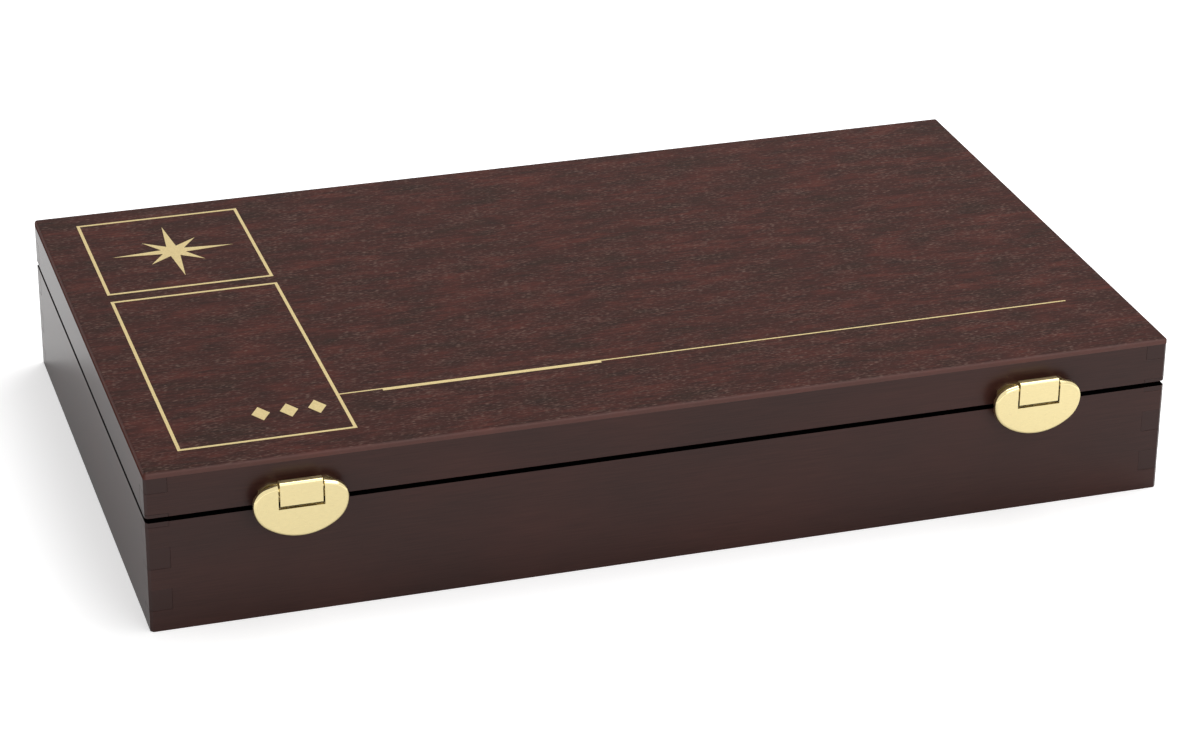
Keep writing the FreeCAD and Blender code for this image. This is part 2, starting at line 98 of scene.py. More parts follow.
# %% Material helpers
def new_material(name):
    material = bpy.data.materials.new(name)
    material.use_nodes = True
    tree = material.node_tree
    shader = tree.nodes["Principled BSDF"]
    return material, tree, shader


def add_node(tree, kind, values=None, **settings):
    """Add one node. A value is a number, a colour or the output socket that feeds the input."""
    node = tree.nodes.new("ShaderNode" + kind)
    for name, setting in settings.items():
        setattr(node, name, setting)
    for name, value in (values or {}).items():
        if isinstance(value, bpy.types.NodeSocket):
            tree.links.new(value, node.inputs[name])
        else:
            node.inputs[name].default_value = value
    return node


def place_pattern(tree, scale, turn=0.0):
    """Object coordinates, stretched along each axis and turned about z."""
    spot = add_node(tree, "TexCoord").outputs["Object"]
    values = {"Vector": spot, "Scale": scale, "Rotation": (0, 0, turn)}
    return add_node(tree, "Mapping", values).outputs["Vector"]


def noise_pattern(tree, spot, size, detail=2.0, roughness=0.5):
    """Noise whose spots are about size metres across."""
    values = {"Vector": spot, "Scale": 1 / size, "Detail": detail, "Roughness": roughness}
    return add_node(tree, "TexNoise", values).outputs["Fac"]


def ramp(tree, factor, stops):
    """A colour ramp through (place, colour) stops."""
    node = add_node(tree, "ValToRGB", {"Fac": factor})
    places = node.color_ramp.elements
    while len(places) < len(stops):
        places.new(0.5)
    for element, (place, colour) in zip(places, stops):
        element.position = place
        element.color = (*colour, 1.0)
    return node.outputs["Color"]


def mix_colours(tree, factor, first, second, blend="MIX"):
    node = add_node(tree, "Mix", data_type="RGBA", blend_type=blend)
    for socket, value in ((node.inputs[0], factor), (node.inputs[6], first), (node.inputs[7], second)):
        if isinstance(value, bpy.types.NodeSocket):
            tree.links.new(value, socket)
        elif isinstance(value, tuple):
            socket.default_value = (*value, 1.0)
        else:
            socket.default_value = value
    return node.outputs[2]


def compute(tree, operation, first, second=0.0):
    return add_node(tree, "Math", {0: first, 1: second}, operation=operation).outputs[0]


def stretch(tree, value, low, high, new_low, new_high):
    values = {"Value": value, "From Min": low, "From Max": high, "To Min": new_low, "To Max": new_high}
    return add_node(tree, "MapRange", values).outputs["Result"]


def grain_pattern(tree, size, detail=2.0, roughness=0.5, scale=(1, 1, 1), turn=0.0):
    """Noise in the wood's own axes, drawn out along x where the first scale is small."""
    return noise_pattern(tree, place_pattern(tree, scale, turn), size, detail, roughness)


def seen_directly(tree, rays):
    """One for rays from the camera, and for mirrored or transmitted ones, and else nought."""
    seen = compute(tree, "MAXIMUM", rays["Is Camera Ray"], rays["Is Glossy Ray"])
    return compute(tree, "MAXIMUM", seen, rays["Is Transmission Ray"])


def bump(tree, shader, height, distance, strength=1.0):
    node = add_node(tree, "Bump", {"Height": height, "Distance": distance, "Strength": strength})
    tree.links.new(node.outputs["Normal"], shader.inputs["Normal"])


def drive(tree, output, shader, socket):
    tree.links.new(output, shader.inputs[socket])

# %% [markdown]
# ## Helpers for pieces
# A finished piece is a mesh that rides on a body of the frame, often in place of a frame node.
# The helper writes the mesh, marks sharp edges by angle so that rounds shade smoothly, and hides
# the frame nodes that the piece stands for. The weighted normals keep large flats looking flat beside
# their small rounded edges.

# %% Piece helpers
sharp_angle = math.radians(40)


def finish_mesh(name, shape):
    """Write a bmesh to a new mesh and free it."""
    mesh = bpy.data.meshes.new(name)
    shape.to_mesh(mesh)
    shape.free()
    return mesh


def make_piece(name, shape, materials, body, nodes=()):
    """Turn a bmesh into a piece that rides on a body and may stand for frame nodes."""
    mesh = finish_mesh(name, shape)
    for material in materials:
        mesh.materials.append(material)
    mesh.shade_smooth()
    mesh.set_sharp_from_angle(angle=sharp_angle)
    piece = bpy.data.objects.new(name, mesh)
    bpy.context.collection.objects.link(piece)
    normals = piece.modifiers.new("flat_faces", "WEIGHTED_NORMAL")
    normals.keep_sharp = True
    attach(piece, body)
    if nodes:
        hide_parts(*nodes)
    return piece


def merged_copy(node):
    """A frame node's triangles as one closed bmesh with its flats made whole."""
    shape = bmesh.new()
    shape.from_mesh(frame["nodes"][node].data)
    bmesh.ops.remove_doubles(shape, verts=shape.verts, dist=0.0005 * mm)
    flat = math.radians(0.5)
    bmesh.ops.dissolve_limit(shape, angle_limit=flat, verts=shape.verts, edges=shape.edges)
    return shape


def ease_edges(shape, width, steps=2, limit=math.radians(30), only=None):
    """Round the sharp outer edges of a shape, or those of them that a test picks."""
    edges = [edge for edge in shape.edges if edge.is_manifold and edge.calc_face_angle() > limit]
    if only:
        edges = [edge for edge in edges if only(edge)]
    bmesh.ops.bevel(
        shape, geom=edges, offset=width, offset_type="OFFSET", segments=steps, profile=0.5,
        affect="EDGES", clamp_overlap=True, material=-1,
    )


def add_block(shape, low, high):
    """A closed block between two corners, as a new part of a shape."""
    size = Vector(high) - Vector(low)
    middle = (Vector(high) + Vector(low)) / 2
    place = Matrix.Translation(middle) @ Matrix.Diagonal((*size, 1.0))
    return bmesh.ops.create_cube(shape, size=1.0, matrix=place)["verts"]


def append(shape, part):
    """Add one bmesh to another and free it."""
    mesh = finish_mesh("part", part)
    shape.from_mesh(mesh)
    bpy.data.meshes.remove(mesh)


def verts_of(parts):
    """The vertices among the parts that an operator gives back."""
    return [part for part in parts if isinstance(part, bmesh.types.BMVert)]


def turn_profile(corners, axis, steps):
    """A closed solid of revolution, from a half section that starts and ends on its axis."""
    shape = bmesh.new()
    verts = [shape.verts.new(corner) for corner in corners]
    edges = [shape.edges.new(pair) for pair in zip(verts, verts[1:])]
    bmesh.ops.spin(shape, geom=[*verts, *edges], cent=(0, 0, 0), axis=axis, angle=2 * math.pi,
                   steps=steps, use_merge=True, use_duplicate=False)
    bmesh.ops.remove_doubles(shape, verts=shape.verts, dist=0.001 * mm)
    bmesh.ops.recalc_face_normals(shape, faces=shape.faces)
    return shape


def body_of(node):
    """The body that carries a frame node."""
    bodies = frame["record"]["behaviour"]["bodies"]
    return next(name for name, nodes in bodies.items() if node in nodes)

# %% [markdown]
# ## Lacquered walls
# The walls are a fine, straight-grained wood, stained nearly black-brown and lacquered. The grain
# runs along each board, so front and side walls get the same recipe, turned. The squares of the
# finger joints show the other board's end grain, which takes the stain a little darker. The band
# behind the shadow gap is painted near black and without shine, as painted shade for the dark gap.
# The front and rear are rubbed to a satin sheen, and the two sides keep a closer polish, in which
# the floor is mirrored.

# %% Wall finish
wall_brown = (0.0415, 0.0168, 0.0138)
wall_red = (0.0540, 0.0194, 0.0152)
end_grain_brown = (0.0392, 0.0164, 0.0138)
# Painted shade: the near-black colour given to the band behind the shadow gap, so that the gap reads
# dark.
painted_gap_shade = (0.0020, 0.0018, 0.0018)
grain_width = 0.35 * mm
grain_stretch = 0.03
cloud_width = 22 * mm
shadow_gap = 1.4 * mm
rebate_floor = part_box("lid_left_wall")[0].z - shadow_gap
# The painted shade band: its height above the rebate floor, and a small margin around it.
shade_band_height = 1.1 * mm
shade_band_margin = 0.02 * mm
front_shine = 0.26
side_shine = 0.10
front_dullness = 0.32
side_dullness = 0.12


def wall_finish(name, turn):
    material, tree, shader = new_material(name)
    fibres = grain_pattern(tree, grain_width, 3.0, 0.5, (grain_stretch, 1, 1), turn)
    clouds = grain_pattern(tree, cloud_width, 1.0, 0.5, (0.4, 1, 1), turn)
    wood = mix_colours(tree, stretch(tree, clouds, 0.35, 0.65, 0, 1), wall_brown, wall_red)
    shade = ramp(tree, fibres, [(0.3, (0.82, 0.82, 0.82)), (0.7, (1.10, 1.10, 1.10))])
    wood = mix_colours(tree, 1.0, wood, shade, "MULTIPLY")
    spot = add_node(tree, "TexCoord")
    normal = add_node(tree, "SeparateXYZ", {0: spot.outputs["Normal"]})
    side = compute(tree, "GREATER_THAN", compute(tree, "ABSOLUTE", normal.outputs["X"]), 0.8)
    ends = side if turn == 0 else compute(tree, "SUBTRACT", 1.0, side)
    upright = compute(tree, "LESS_THAN", compute(tree, "ABSOLUTE", normal.outputs["Z"]), 0.5)
    wood = mix_colours(tree, compute(tree, "MULTIPLY", ends, upright), wood, end_grain_brown)
    height = add_node(tree, "SeparateXYZ", {0: spot.outputs["Object"]}).outputs["Z"]
    # Painted shade: the band just above the rebate floor is coloured near black to darken the shadow
    # gap.
    shade_band_middle = rebate_floor + shade_band_height / 2
    lift = compute(tree, "ABSOLUTE", compute(tree, "SUBTRACT", height, shade_band_middle))
    painted_shade = compute(tree, "LESS_THAN", lift, shade_band_height / 2 + shade_band_margin)
    wood = mix_colours(tree, painted_shade, wood, painted_gap_shade)
    drive(tree, wood, shader, "Base Color")
    shine = stretch(tree, side, 0, 1, front_shine, side_shine)
    # The painted shade band also loses its shine.
    outside_shade = compute(tree, "SUBTRACT", 1.0, painted_shade)
    drive(tree, compute(tree, "MULTIPLY", shine, outside_shade), shader, "Specular IOR Level")
    dullness = stretch(tree, side, 0, 1, front_dullness, side_dullness)
    rough = compute(tree, "ADD", dullness, stretch(tree, fibres, 0.3, 0.7, -0.04, 0.04))
    drive(tree, rough, shader, "Roughness")
    bump(tree, shader, fibres, 0.01 * mm, 0.35)
    return material


long_wall = wall_finish("lacquered_wood_long", 0.0)
short_wall = wall_finish("lacquered_wood_short", math.pi / 2)
print("wall finishes:", long_wall.name, short_wall.name)

# %% [markdown]
# ## Veneer
# The top board is veneered with a figured brown wood. Its figure is soft reddish and grey-brown
# clouds, drawn out along the grain, with thousands of short pale pores that run the same way.
# A noise stretched along x makes each of these: a large one for the clouds, a fine one for the
# streaks, and a thresholded one for the pores. The rounded edges are redder solid wood, and the
# long ones are polished, so that they catch a line of light.

# %% Veneer finish
veneer_dark = (0.0320, 0.0155, 0.0118)
veneer_middle = (0.0460, 0.0165, 0.0134)
veneer_red = (0.0780, 0.0235, 0.0180)
pore_colour = (0.175, 0.108, 0.088)
edge_red = (0.115, 0.034, 0.024)


def veneer_finish():
    material, tree, shader = new_material("veneer")
    clouds = grain_pattern(tree, 8 * mm, 5.0, 0.7, (0.35, 1, 1), 0.10)
    figure = ramp(tree, clouds, [(0.34, veneer_dark), (0.5, veneer_middle), (0.68, veneer_red)])
    streaks = grain_pattern(tree, 0.9 * mm, 3.0, 0.6, (0.12, 1, 1), 0.05)
    shade = ramp(tree, streaks, [(0.3, (0.60, 0.60, 0.62)), (0.7, (1.42, 1.40, 1.38))])
    wood = mix_colours(tree, 1.0, figure, shade, "MULTIPLY")
    flecks = grain_pattern(tree, 0.36 * mm, 1.0, 0.5, (0.22, 1, 1), 0.05)
    patches = grain_pattern(tree, 5 * mm, 2.0, 0.5, (0.5, 1, 1))
    pores = stretch(tree, compute(tree, "ADD", flecks, compute(tree, "MULTIPLY", patches, 0.3)),
                    0.72, 0.90, 0.0, 0.70)
    normal = add_node(tree, "TexCoord").outputs["Normal"]
    normal = add_node(tree, "SeparateXYZ", {0: normal}).outputs
    facing = normal["Z"]
    frontal = compute(tree, "SUBTRACT", 1.0, compute(tree, "ABSOLUTE", normal["X"]))
    pores = compute(tree, "MULTIPLY", pores, stretch(tree, facing, 0.5, 0.95, 0.3, 1.0))
    wood = mix_colours(tree, pores, wood, pore_colour)
    wood = mix_colours(tree, stretch(tree, facing, 0.55, 0.95, 0.60, 0.0), wood, edge_red)
    drive(tree, wood, shader, "Base Color")
    gloss = compute(tree, "MULTIPLY", stretch(tree, facing, 0.6, 0.97, 0.40, 0.03), frontal)
    drive(tree, gloss, shader, "Specular IOR Level")
    drive(tree, stretch(tree, streaks, 0.3, 0.7, 0.42, 0.55), shader, "Roughness")
    bump(tree, shader, flecks, 0.02 * mm, 0.4)
    return material


veneer = veneer_finish()
print("veneer:", veneer.name)

# %% [markdown]
# ## Metal
# The fittings are brass with a pale gold plate. A lever's face is brushed to a soft satin and its
# rim is polished, so the face looks even and the rim catches thin bright lines. One recipe with
# two roughnesses gives both. The hinges and screws are plain brass.

# %% Gold finishes
gold_colour = (0.838, 0.708, 0.380)
brass_colour = (0.800, 0.610, 0.280)


def metal_finish(name, colour, roughness, brush_depth):
    material, tree, shader = new_material(name)
    shader.inputs["Metallic"].default_value = 1.0
    brushed = grain_pattern(tree, 0.12 * mm, scale=(0.08, 1, 1))
    tone = ramp(tree, brushed, [
        (0.3, tuple(0.95 * part for part in colour)),
        (0.7, tuple(min(1.0, 1.04 * part) for part in colour)),
    ])
    drive(tree, tone, shader, "Base Color")
    drive(tree, stretch(tree, brushed, 0.3, 0.7, 0.9 * roughness, 1.15 * roughness), shader, "Roughness")
    bump(tree, shader, brushed, brush_depth, 0.5)
    return material


satin_gold = metal_finish("satin_gold", gold_colour, 0.30, 0.004 * mm)
polished_gold = metal_finish("polished_gold", gold_colour, 0.10, 0.001 * mm)
hinge_brass = metal_finish("hinge_brass", brass_colour, 0.24, 0.003 * mm)
screw_brass = metal_finish("screw_brass", brass_colour, 0.20, 0.002 * mm)
print("metals:", satin_gold.name, polished_gold.name, hinge_brass.name, screw_brass.name)

# %% [markdown]
# ## Walls
# The eight walls are already cut to shape in the frame, with their fingers, mortises and pilot
# holes. What is missing is the slight rounding that sanding leaves on every edge, which lets the
# joints and corners catch light. A merged copy of each wall gets a narrow bevel and stands in for
# its node.

# %% Walls
sanded_edge = 0.14 * mm


def ease_wall(node, material):
    shape = merged_copy(node)
    ease_edges(shape, sanded_edge)
    return make_piece(node + "_sanded", shape, [material], body_of(node), [node])


for part in ("box", "lid"):
    for side in ("front", "rear"):
        ease_wall(f"{part}_{side}_wall", long_wall)
    for side in ("left", "right"):
        ease_wall(f"{part}_{side}_wall", short_wall)
print("walls sanded: 8")

# %% [markdown]
# ## Top board
# The board lies flush on the lid's frame. Its upper edge is rounded over, and a rebated field on
# its underside drops inside the walls. Its surface is kept a hair below the frame's top, so that
# the gold print can lie on it. A block with bevelled edges is all that the shape needs.

# %% Top board
print_film = 0.04 * mm
board_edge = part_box("lid_front_wall")[1].z
board_round = 0.95 * mm
wall_width = 6.5 * mm


def build_top_board():
    shape = bmesh.new()
    top = case_height - print_film
    add_block(shape, (-half_length, -half_depth, board_edge), (half_length, half_depth, top))
    rounded = [edge for edge in shape.edges if any(vert.co.z > top - 1e-7 for vert in edge.verts)]
    bmesh.ops.bevel(shape, geom=rounded, offset=board_round, offset_type="OFFSET", segments=5,
                    profile=0.5, affect="EDGES", material=-1)
    pad_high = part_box("lid_pad")[1].z
    add_block(shape, (wall_width - half_length, wall_width - half_depth, pad_high),
              (half_length - wall_width, half_depth - wall_width, board_edge))
    return make_piece("top_board", shape, [veneer], "lid", ["lid_top_board"])


build_top_board()
print("top board, rounded", round(board_round / mm, 2), "mm")

# %% [markdown]
# ## Gold print
# The top is decorated with plain gold lines: a small frame over a tall one, and a long rule that
# starts at the tall frame. Each line is a strip a few hundredths of a millimetre thick. A frame is
# a flat face, inset by the width of its line, with the middle taken out and the ring given its
# thickness. The small frame holds an eight-pointed star, and the tall one a row of lozenges.

# %% Gold print
line_width = 0.95 * mm
thin_line = 0.56 * mm
thick_line = 1.25 * mm
frame_left = -138.4 * mm
frame_right = -88.4 * mm
small_frame = (26.6 * mm, 79.6 * mm)
tall_frame = (-77.8 * mm, 21.9 * mm)
rule_y = -56.3 * mm
rule_end = 132.0 * mm
bar_start = -76.0 * mm
bar_end = -12.0 * mm
star_reach = 18.5 * mm
star_waist = 3.8 * mm
star_slant = 0.62
lozenge_place = (-112 * mm, -62 * mm)
lozenge_pitch = 8 * mm
lozenge_half = (2.6 * mm, 4.2 * mm)


def gold_leaf():
    material, tree, shader = new_material("gold_print")
    wear = grain_pattern(tree, 0.5 * mm, 3.0)
    tone = ramp(tree, wear, [(0.3, (0.58, 0.44, 0.18)), (0.7, (0.70, 0.56, 0.26))])
    drive(tree, tone, shader, "Base Color")
    shader.inputs["Metallic"].default_value = 0.35
    drive(tree, stretch(tree, wear, 0.3, 0.7, 0.35, 0.5), shader, "Roughness")
    return material


def flat_face(shape, corners):
    return shape.faces.new([shape.verts.new((x, y, case_height - print_film)) for x, y in corners])


def rectangle(left, right, low, high):
    return [(left, low), (right, low), (right, high), (left, high)]


def print_frame(shape, low, high):
    face = flat_face(shape, rectangle(frame_left, frame_right, low, high))
    face.normal_update()
    bmesh.ops.inset_region(shape, faces=[face], thickness=line_width, use_even_offset=True,
                           use_boundary=True)
    shape.faces.remove(face)


def print_star(shape, x, y):
    """Eight points, of which the four slanting ones are shorter, with waists between them."""
    corners = []
    for step in range(16):
        angle = math.pi * step / 8
        radius = (star_reach, star_waist, star_slant * star_reach, star_waist)[step % 4]
        corners.append((x + radius * math.cos(angle), y + radius * math.sin(angle)))
    flat_face(shape, corners)


def print_lozenge(shape, x, y):
    width, height = lozenge_half
    flat_face(shape, [(x - width, y), (x, y - height), (x + width, y), (x, y + height)])


def build_print():
    shape = bmesh.new()
    print_frame(shape, *small_frame)
    print_frame(shape, *tall_frame)
    flat_face(shape, rectangle(frame_right, rule_end, rule_y - thin_line / 2, rule_y + thin_line / 2))
    flat_face(shape, rectangle(bar_start, bar_end, rule_y - thick_line, rule_y - thin_line / 2))
    print_star(shape, (frame_left + frame_right) / 2, sum(small_frame) / 2)
    for number in range(3):
        print_lozenge(shape, lozenge_place[0] + number * lozenge_pitch, lozenge_place[1])
    lifted = bmesh.ops.extrude_face_region(shape, geom=list(shape.faces))["geom"]
    bmesh.ops.translate(shape, verts=verts_of(lifted), vec=(0, 0, print_film))
    bmesh.ops.recalc_face_normals(shape, faces=shape.faces)
    return make_piece("gold_print", shape, [gold_leaf()], "lid")


build_print()
print("printed lines", round(line_width / mm, 2), "mm wide")

# %% [markdown]
# ## Clasp levers
# A lever is a pressed oval cover: a flat satin face with a rounded rim that stands off the wall,
# notched at the top for the strap that holds its pin. The oval is a low arch over a deeper bowl,
# each made of two end arcs and a long arc that meet smoothly. We walk a single vertex along these
# arcs with spin, fill the outline, fold the rim back, round its edge, cut the notch by bisecting,
# and give the whole skin its thickness. Two ears go round the pin.

# %% Clasp levers
arch_end_radius = 5.2 * mm
bowl_end_radius = 8.7 * mm
widest_lift = 2.0 * mm
lever_sheet = 0.58 * mm
rim_depth = 1.6 * mm
rim_round = 1.0 * mm
strap_half = 5.95 * mm
notch_gap = 0.5 * mm
gap_middle = rebate_floor + shadow_gap / 2
notch_foot_lift = 0.75 * mm
arc_steps = 8
lug_sheet = 0.9 * mm
lug_radius = 1.4 * mm


def walk_arc(shape, vert, centre, angle, steps):
    """Carry a vertex round a centre in the plane of the front wall, and leave edges behind."""
    result = bmesh.ops.spin(shape, geom=[vert], cent=centre, axis=(0, 1, 0), angle=angle,
                            steps=steps, use_duplicate=False)
    return verts_of(result["geom_last"])[0]


def walk_half(shape, vert, x, level, y, half_width, height, end_radius, up):
    """From one end of the oval to the other, over the arch (up = 1) or under the bowl (-1)."""
    crown = (half_width**2 + height**2 - 2 * half_width * end_radius) / (2 * (height - end_radius))
    lean = math.asin((half_width - end_radius) / (crown - end_radius))
    side = (half_width - end_radius) * up
    vert = walk_arc(shape, vert, (x + side, y, level), lean - math.pi / 2, arc_steps)
    vert = walk_arc(shape, vert, (x, y, level + up * (height - crown)), -2 * lean, 3 * arc_steps)
    return walk_arc(shape, vert, (x - side, y, level), lean - math.pi / 2, arc_steps)


def cut_plane(shape, spot, normal):
    geometry = [*shape.verts, *shape.edges, *shape.faces]
    bmesh.ops.bisect_plane(shape, geom=geometry, plane_co=spot, plane_no=normal, dist=1e-7)


def add_lugs(shape, side, x, half_notch):
    """Two ears behind the cover, each a round eye with a web up to the cover."""
    low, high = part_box(f"{side}_clasp_pin")
    pin_y, pin_z = (low.y + high.y) / 2, (low.z + high.z) / 2
    cover_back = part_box(f"{side}_clasp_lever")[0].y + lever_sheet
    for hand in (-1, 1):
        middle = x + hand * (half_notch + lug_sheet / 2)
        place = Matrix.Translation((middle, pin_y, pin_z)) @ Matrix.Rotation(math.pi / 2, 4, "Y")
        bmesh.ops.create_cone(shape, cap_ends=True, segments=24, radius1=lug_radius,
                              radius2=lug_radius, depth=lug_sheet, matrix=place)
        add_block(shape, (middle - lug_sheet / 2, cover_back - 0.1 * mm, pin_z - lug_radius),
                  (middle + lug_sheet / 2, pin_y, pin_z + lug_radius))


def build_lever(side):
    low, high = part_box(f"{side}_clasp_lever")
    x = (low.x + high.x) / 2
    half_width = (high.x - low.x) / 2
    level = gap_middle + widest_lift
    front = low.y
    shape = bmesh.new()
    start = shape.verts.new((x + half_width, front, level))
    vert = walk_half(shape, start, x, level, front, half_width, high.z - level, arch_end_radius, 1)
    walk_half(shape, vert, x, level, front, half_width, level - low.z, bowl_end_radius, -1)
    bmesh.ops.remove_doubles(shape, verts=shape.verts, dist=0.01 * mm)
    face = bmesh.ops.contextual_create(shape, geom=shape.edges)["faces"][0]
    outline = list(face.edges)
    rim = bmesh.ops.extrude_edge_only(shape, edges=outline)["geom"]
    bmesh.ops.translate(shape, verts=verts_of(rim), vec=(0, rim_depth, 0))
    bmesh.ops.recalc_face_normals(shape, faces=shape.faces)
    bmesh.ops.bevel(shape, geom=outline, offset=rim_round, offset_type="OFFSET", segments=5,
                    profile=0.5, affect="EDGES", material=1)
    half_notch = strap_half + notch_gap
    notch_foot = gap_middle + notch_foot_lift
    cut_plane(shape, (x - half_notch, 0, 0), (1, 0, 0))
    cut_plane(shape, (x + half_notch, 0, 0), (1, 0, 0))
    cut_plane(shape, (x, 0, notch_foot), (0, 0, 1))
    inside = [
        face for face in shape.faces
        if abs(face.calc_center_median().x - x) < half_notch
        and face.calc_center_median().z > notch_foot
    ]
    bmesh.ops.delete(shape, geom=inside, context="FACES")
    bmesh.ops.recalc_face_normals(shape, faces=shape.faces)
    if max(shape.faces, key=lambda face: face.calc_area()).normal.y > 0:
        bmesh.ops.reverse_faces(shape, faces=shape.faces)
    bmesh.ops.solidify(shape, geom=shape.faces, thickness=lever_sheet)
    add_lugs(shape, side, x, half_notch)
    print(side, "lever", round(2 * half_width / mm, 1), "mm wide")
    return make_piece(f"{side}_lever", shape, [satin_gold, polished_gold], f"{side}_clasp_lever",
                      [f"{side}_clasp_lever"])


for side in ("left", "right"):
    build_lever(side)

# %% [markdown]
# ## Other fittings
# The brackets, keepers, hooks, pins and hinge leaves are simple sheet and bar. Their frame nodes
# have the right form, so a merged copy with softly rounded edges is enough.

# %% Fittings
def ease_fitting(node, width, material):
    shape = merged_copy(node)
    ease_edges(shape, width, steps=2)
    return make_piece(node + "_finished", shape, [material], body_of(node), [node])


fittings = [
    ("clasp_bracket", 0.07 * mm, satin_gold, "clasp_brass"),
    ("clasp_keeper", 0.07 * mm, satin_gold, "clasp_brass"),
    ("clasp_hook", 0.07 * mm, polished_gold, "clasp_brass"),
    ("clasp_pin", 0.08 * mm, polished_gold, "fastener_brass"),
    ("hinge_pin", 0.10 * mm, hinge_brass, "fastener_brass"),
    ("hinge_box_leaf", 0.06 * mm, hinge_brass, "hinge_brass"),
    ("hinge_lid_leaf", 0.06 * mm, hinge_brass, "hinge_brass"),
]
for side in ("left", "right"):
    for fitting, width, material, slot in fittings:
        ease_fitting(f"{side}_{fitting}", width, material)
print("fittings finished:", 2 * len(fittings))

# %% [markdown]
# ## Screws
# Sixteen small countersunk screws hold the hinges and the clasps. The frame groups them, four to a
# node. Each screw is turned once from its half section, gets its slot by sinking a strip of the
# head's face, and is copied to where the frame has it: the loose parts of a node tell the places.

# %% Screws
screw_head = 1.45 * mm
screw_shank = 0.68 * mm
screw_length = 4.9 * mm
screw_edge = 0.12 * mm
screw_point = 1.0 * mm
slot_half = 0.22 * mm
slot_depth = 0.35 * mm


def loose_boxes(node):
    """The box of every separate solid in a node."""
    shape = merged_copy(node)
    left = set(shape.verts)
    boxes = []
    while left:
        queue = [left.pop()]
        found = list(queue)
        while queue:
            vert = queue.pop()
            for edge in vert.link_edges:
                other = edge.other_vert(vert)
                if other in left:
                    left.remove(other)
                    queue.append(other)
                    found.append(other)
        low = Vector([min(vert.co[axis] for vert in found) for axis in range(3)])
        high = Vector([max(vert.co[axis] for vert in found) for axis in range(3)])
        boxes.append((low, high))
    shape.free()
    return sorted(boxes, key=lambda box: tuple(box[0]))


def turn_screw():
    """One screw with its head's face at z = 0 and its shank downwards."""
    profile = [(0, 0), (screw_head, 0), (screw_head, -screw_edge),
               (screw_shank, screw_shank - screw_head), (screw_shank, screw_point - screw_length),
               (0, -screw_length)]
    shape = turn_profile([(x, 0, z) for x, z in profile], (0, 0, 1), 24)
    cut_plane(shape, (0, -slot_half, 0), (0, 1, 0))
    cut_plane(shape, (0, slot_half, 0), (0, 1, 0))
    strip = [
        face for face in shape.faces
        if face.normal.z > 0.9 and abs(face.calc_center_median().y) < slot_half
    ]
    sunk = bmesh.ops.extrude_face_region(shape, geom=strip)["geom"]
    bmesh.ops.delete(shape, geom=strip, context="FACES_ONLY")
    bmesh.ops.translate(shape, verts=verts_of(sunk), vec=(0, 0, -slot_depth))
    return finish_mesh("screw", shape)


screw_mesh = turn_screw()
first_slant = 0.5
next_slant = 0.9
head_directions = {
    "hinge_box_screws": Matrix(),
    "hinge_lid_screws": Matrix.Rotation(math.pi, 4, "X"),
    "clasp_bracket_screws": Matrix.Rotation(math.pi / 2, 4, "X"),
    "clasp_keeper_screws": Matrix.Rotation(math.pi / 2, 4, "X"),
}

for node, direction in head_directions.items():
    shape = bmesh.new()
    out = direction.to_3x3() @ Vector((0, 0, 1))
    for number, (low, high) in enumerate(loose_boxes(node)):
        middle = (low + high) / 2
        reach = (high - low) / 2
        head = middle + Vector([out[axis] * reach[axis] for axis in range(3)])
        slant = Matrix.Rotation(first_slant + next_slant * number, 4, "Z")
        place = Matrix.Translation(head) @ direction @ slant
        known = len(shape.verts)
        shape.from_mesh(screw_mesh)
        shape.verts.ensure_lookup_table()
        bmesh.ops.transform(shape, matrix=place, verts=shape.verts[known:])
    make_piece(node + "_turned", shape, [screw_brass], body_of(node), [node])
    print(node, "turned")

# %% [markdown]
# ## Bottom panel
# The panel under the trays is a sheet of stained plywood with the same grain as the long walls,
# let in flush with their lower edges. It only needs its edges eased.

# %% Bottom panel
def plywood_finish():
    material, tree, shader = new_material("stained_plywood")
    rings = grain_pattern(tree, 3.5 * mm, 4.0, 0.6, (0.08, 1, 1))
    tone = ramp(tree, rings, [(0.35, (0.040, 0.022, 0.017)), (0.65, (0.075, 0.040, 0.029))])
    drive(tree, tone, shader, "Base Color")
    drive(tree, stretch(tree, rings, 0.3, 0.7, 0.55, 0.7), shader, "Roughness")
    bump(tree, shader, rings, 0.03 * mm, 0.4)
    return material


shape = merged_copy("box_bottom_panel")
ease_edges(shape, sanded_edge)
make_piece("bottom_panel", shape, [plywood_finish()], "box", ["box_bottom_panel"])
print("bottom panel eased")

# %% [markdown]
# ## Foam trays
# Each tray is cut from black foam with a flocked skin. It has a rim, two beds of half-round slots
# and a trough between them for the fingertips. A bed has the same section all along its sticks, so
# we draw the section once, with one spin for every slot, and extrude it. The rim is a flat face,
# inset and raised. The slots' places come from the loose sticks of the frame.

# %% Tray finish
flock_black = (0.0085, 0.0085, 0.0095)
flock_worn = (0.0220, 0.0215, 0.0230)


def flock_finish():
    material, tree, shader = new_material("black_flock")
    fluff = grain_pattern(tree, 0.35 * mm, 2.0, 0.7)
    worn = grain_pattern(tree, 9 * mm, 3.0, 0.6)
    shade = stretch(tree, 0.4, 0, 1, fluff, worn)
    tone = ramp(tree, shade, [(0.36, flock_black), (0.64, flock_worn)])
    drive(tree, tone, shader, "Base Color")
    shader.inputs["Roughness"].default_value = 0.95
    shader.inputs["Specular IOR Level"].default_value = 0.15
    shader.inputs["Sheen Weight"].default_value = 0.12
    shader.inputs["Sheen Roughness"].default_value = 0.5
    bump(tree, shader, fluff, 0.12 * mm, 0.6)
    return material


flock = flock_finish()

# %% Trays
slot_clearance = 0.30 * mm
slot_sink = 6.9 * mm
end_clearance = 0.8 * mm
rim_easing = 0.9 * mm
bed_lift = 0.2 * mm
trough_floor = 3.0 * mm
trough_lap = 0.5 * mm
slot_steps = 8


def step_to(shape, vert, place):
    """Carry the section's last vertex straight on, unless it is already there."""
    place = Vector(place)
    if (vert.co - place).length < 0.001 * mm:
        return vert
    new = shape.verts.new(place)
    shape.edges.new((vert, new))
    return new


